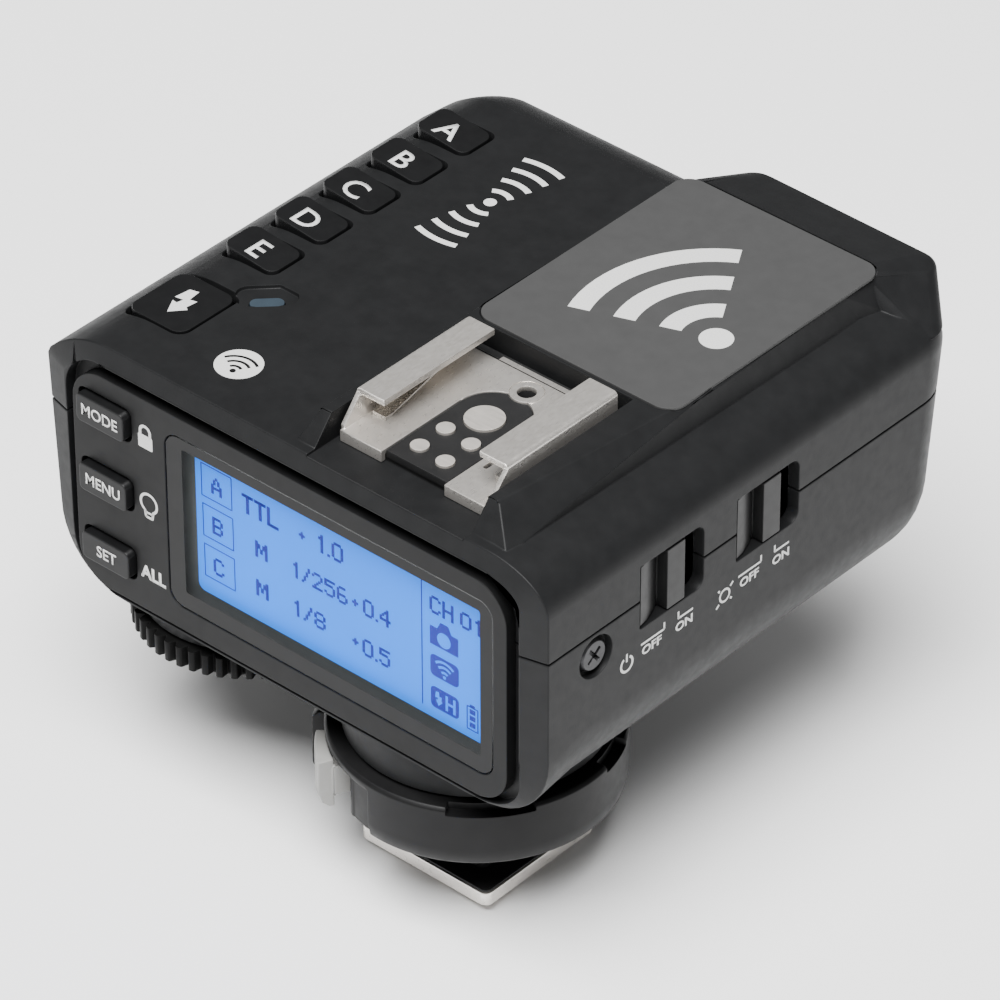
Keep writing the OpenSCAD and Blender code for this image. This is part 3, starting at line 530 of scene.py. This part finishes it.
def side_legends():
    """Signs and words below the two slide switches."""
    power, lamp, line = (-1.8, 36.15), (14.05, 36.15), 0.26
    marks = ring(power, 0.92, 0.3, 120, 420, 24) + stroke([(-1.8, 37.45), (-1.8, 36.45)], 0.28)
    marks += stroke([(0.5, 37.35), (4.2, 37.35), (4.2, 38.2)], line)
    marks += stroke([(6.48, 38.3), (6.48, 37.42), (8.8, 37.42)], line)
    marks += stroke([(16.3, 37.3), (20.0, 37.3), (20.0, 38.1)], line)
    marks += stroke([(22.27, 38.1), (22.27, 37.3), (24.6, 37.3)], line)
    marks += ring(lamp, 0.78, line)
    for angle, reach in ((40, 1.75), (135, 1.5), (220, 1.75), (320, 1.5)):
        c, s = cos(radians(angle)), sin(radians(angle))
        ray = [(lamp[0] + r * c, lamp[1] + r * s) for r in (1.2, reach)]
        marks += stroke(ray, line)
    plates("side_marks", marks, on_right(0, 0, SIDE_X), INK_THICK, INK, "housing")
    for name, word, y, z in (("off_1", "OFF", 2.2, 36.35), ("on_1", "ON", 7.45, 36.3),
                             ("off_2", "OFF", 18.1, 36.2), ("on_2", "ON", 23.35, 36.1)):
        lettering("legend_" + name, word, on_right(y, z, SIDE_X), 1.05, "housing", squeeze=1.2)


# Dot-matrix letters of the display, row by row
DOTS = {
    "A": "..#..|.#.#.|.#.#.|#...#|#####|#...#|#...#", "B": "####.|#...#|#...#|####.|#...#|#...#|####.",
    "C": ".###.|#...#|#....|#....|#....|#...#|.###.", "T": "#####|..#..|..#..|..#..|..#..|..#..|..#..",
    "L": "#....|#....|#....|#....|#....|#....|#####", "M": "#...#|##.##|##.##|#.#.#|#.#.#|#...#|#...#",
    "H": "#...#|#...#|#...#|#####|#...#|#...#|#...#", "0": ".###.|#...#|#...#|#...#|#...#|#...#|.###.",
    "1": ".#.|##.|.#.|.#.|.#.|.#.|.#.", "2": ".###.|#...#|....#|...#.|..#..|.#...|#####",
    "4": "...#.|..##.|.#.#.|#..#.|#####|...#.|...#.", "5": "#####|#....|####.|....#|....#|#...#|.###.",
    "6": ".###.|#....|#....|####.|#...#|#...#|.###.", "8": ".###.|#...#|#...#|.###.|#...#|#...#|.###.",
    "/": "...#|...#|..#.|..#.|.#..|.#..|#...", "+": "...|...|.#.|###|.#.|...|...", ".": ".|.|.|.|.|.|#",
}


def dots(word, x, z, pitch=0.3, high=0.32, swell=0.04):
    """Squares of a word in dot-matrix letters; x and z are the top left corner."""
    squares = []
    for letter in word:
        rows = DOTS[letter].split("|")
        for i, row in enumerate(rows):
            for j, dot in enumerate(row):
                if dot == "#":
                    x0, z0 = x + j * pitch, z - (i + 1) * high
                    squares.append(rectangle(x0 - swell, z0 - swell / 3,
                                             x0 + pitch + swell, z0 + high + swell / 3))
        x += (len(rows[0]) + 1) * pitch
    return squares


def over_display(gap):
    """Place of a drawing in X and Z, that far in front of the display module."""
    return facing((0, LCD_Y - gap, 0), (1, 0, 0), (0, 0, 1))


def display_readings():
    """Group boxes with their letters, modes and values."""
    shapes = []
    for top, left in ((44.48, -27.3), (39.15, -27.22), (33.78, -27.16)):
        right, low = left + 4.42, top - 4.28
        shapes += stroke([(left, top), (right, top), (right, low), (left, low), (left, top + 0.02)], 0.14)
    shapes += dots("A", -25.85, 43.35) + dots("B", -25.85, 38.0) + dots("C", -25.85, 32.55)
    shapes += dots("TTL", -21.3, 43.35, 0.305, 0.35, 0.08)
    shapes += dots("+", -13.1, 43.1, 0.3, 0.32, 0) + dots("1.0", -10.25, 43.45, 0.32, 0.34)
    shapes += dots("M", -19.55, 38.0, 0.35, 0.31) + dots("1/256", -14.0, 38.0, 0.3, 0.31, 0.03)
    shapes += dots("+", -5.55, 38.0, 0.3, 0.32, 0) + dots("0.4", -3.95, 38.15, 0.3, 0.32)
    shapes += dots("M", -19.55, 32.8, 0.35, 0.31) + dots("1/8", -13.95, 32.9, 0.32, 0.31, 0.03)
    shapes += dots("+", -5.6, 32.8, 0.3, 0.32, 0) + dots("0.5", -4.1, 32.75, 0.3, 0.32)
    return shapes


def display_column():
    """Channel, camera, radio and sync signs and the battery, right of the dividing line."""
    shapes = stroke([(4.42, 45.5), (4.42, 28.35)], 0.16)
    shapes += dots("CH", 5.58, 43.45, 0.3, 0.32)
    shapes += dots("0", 9.85, 43.45, 0.31, 0.3) + dots("1", 12.0, 43.45, 0.31, 0.3)
    shapes += [rectangle(5.56, 37.05, 9.55, 39.45), [(6.6, 39.45), (7.05, 40.4), (8.15, 40.4), (8.6, 39.45)]]
    shapes += [rounded(5.6, 32.95, 9.6, 35.8, 0.6), rounded(5.62, 28.75, 9.6, 31.55, 0.6)]
    shapes += stroke([(10.75, 28.4), (10.75, 31.4), (12.25, 31.4), (12.25, 28.4), (10.75, 28.4)], 0.15)
    shapes += [rectangle(11.15, 31.4, 11.85, 31.75)]
    shapes += [rectangle(11.1, z, 11.9, z + 0.62) for z in (28.75, 29.65, 30.5)]
    return shapes


def display():
    """The printed border on the cover, and the lit field, its glyphs and what is left light in them."""
    glyph_gap, cutout_gap = 0.03, 0.055
    field = rounded(-28.2, 27.25, 13.25, 45.5, 0.9)
    plates("display_field", [field], on_rear(0, 0, LCD_Y), INK_THICK, MATERIAL["lcd"], "housing")
    mask = frame_of(rounded(-31.1, 24.9, 15.5, 47.5, 1.85), rounded(-28.8, 27.07, 13.85, 46.17, 0.35))
    plates("display_mask", mask, on_rear(0, 0, LENS_Y), 0.015, MASK, "housing")
    lit = display_readings() + display_column()
    plates("display_glyphs", lit, over_display(glyph_gap), INK_THICK, GLYPH, "housing")
    cut = [arc((7.55, 38.25), 0.95, 0, 360, 24)[:-1]]
    cut += waves(7.6, 33.35, 1.95, 0.3, 3, 90, 40) + [arc((7.6, 33.4), 0.22, 0, 360, 12)[:-1]]
    cut += dots("H", 7.75, 31.1, 0.27, 0.28, 0.03) + [bolt(6.75, 30.15, 0.38)]
    plates("display_cutouts", cut, over_display(cutout_gap), 0.01, MATERIAL["lcd"], "housing")


def make_camera():
    """Camera at the place and with the lens of the reference view."""
    a, e, roll = radians(VIEW_AZIMUTH), radians(VIEW_ELEVATION), radians(VIEW_ROLL)
    back = Vector((sin(a) * cos(e), -cos(a) * cos(e), sin(e)))
    right = Vector((cos(a), sin(a), 0))
    up = back.cross(right)
    side = right * cos(roll) + up * sin(roll)
    above = up * cos(roll) - right * sin(roll)
    data = bpy.data.cameras.new("camera")
    data.lens = VIEW_LENS
    data.sensor_width = 36
    data.clip_end = 20
    camera = bpy.data.objects.new("camera", data)
    bpy.context.scene.collection.objects.link(camera)
    where = VIEW_TARGET + back * VIEW_DISTANCE + side * VIEW_OFFSET[0] + above * VIEW_OFFSET[1]
    camera.matrix_world = Matrix.Translation(where) @ Matrix((side, above, back)).transposed().to_4x4()
    bpy.context.scene.camera = camera


def softbox(name, where, aim, size, power):
    """Rectangular lamp, in metres and watts, turned to its aim."""
    data = bpy.data.lights.new(name, "AREA")
    data.shape = "RECTANGLE"
    data.size, data.size_y = size
    data.energy = power
    lamp = bpy.data.objects.new(name, data)
    bpy.context.scene.collection.objects.link(lamp)
    lamp.location = where
    lamp.rotation_euler = (Vector(aim) - Vector(where)).to_track_quat("-Z", "Y").to_euler()


def make_studio():
    """Even white surroundings, a pale floor just under the sprung contacts, and one large lamp above."""
    world = bpy.data.worlds.new("studio")
    bpy.context.scene.world = world
    world.use_nodes = True
    world.node_tree.nodes["Background"].inputs["Color"].default_value = (1, 1, 1, 1)
    world.node_tree.nodes["Background"].inputs["Strength"].default_value = 0.22
    bm = bmesh.new()
    bmesh.ops.create_grid(bm, x_segments=2, y_segments=2, size=4)
    mesh = bpy.data.meshes.new("floor")
    bm.to_mesh(mesh)
    bm.free()
    floor = bpy.data.objects.new("floor", mesh)
    floor.location.z = FLOOR_Z * MM
    bpy.context.scene.collection.objects.link(floor)
    pale = Nodes("floor")
    shade = pale.mix(pale.noise(0.3), (0.90, 0.90, 0.90), (0.93, 0.93, 0.93))
    pale.link(shade, pale.shader.inputs["Base Color"])
    pale.shader.inputs["Roughness"].default_value = 0.9
    pale.shader.inputs["Specular IOR Level"].default_value = 0.1
    mesh.materials.append(pale.material)
    middle = (-0.013, 0.02, 0.035)
    softbox("top_softbox", (0.15, -0.35, 1.1), middle, (0.8, 0.8), 48)


make_camera()
make_studio()
dress_cad_nodes()
group_key_letters()
test_key_sign()
radio_badge()
deck_mark()
plate_mark()
rear_key_words()
rear_signs()
side_legends()
display()
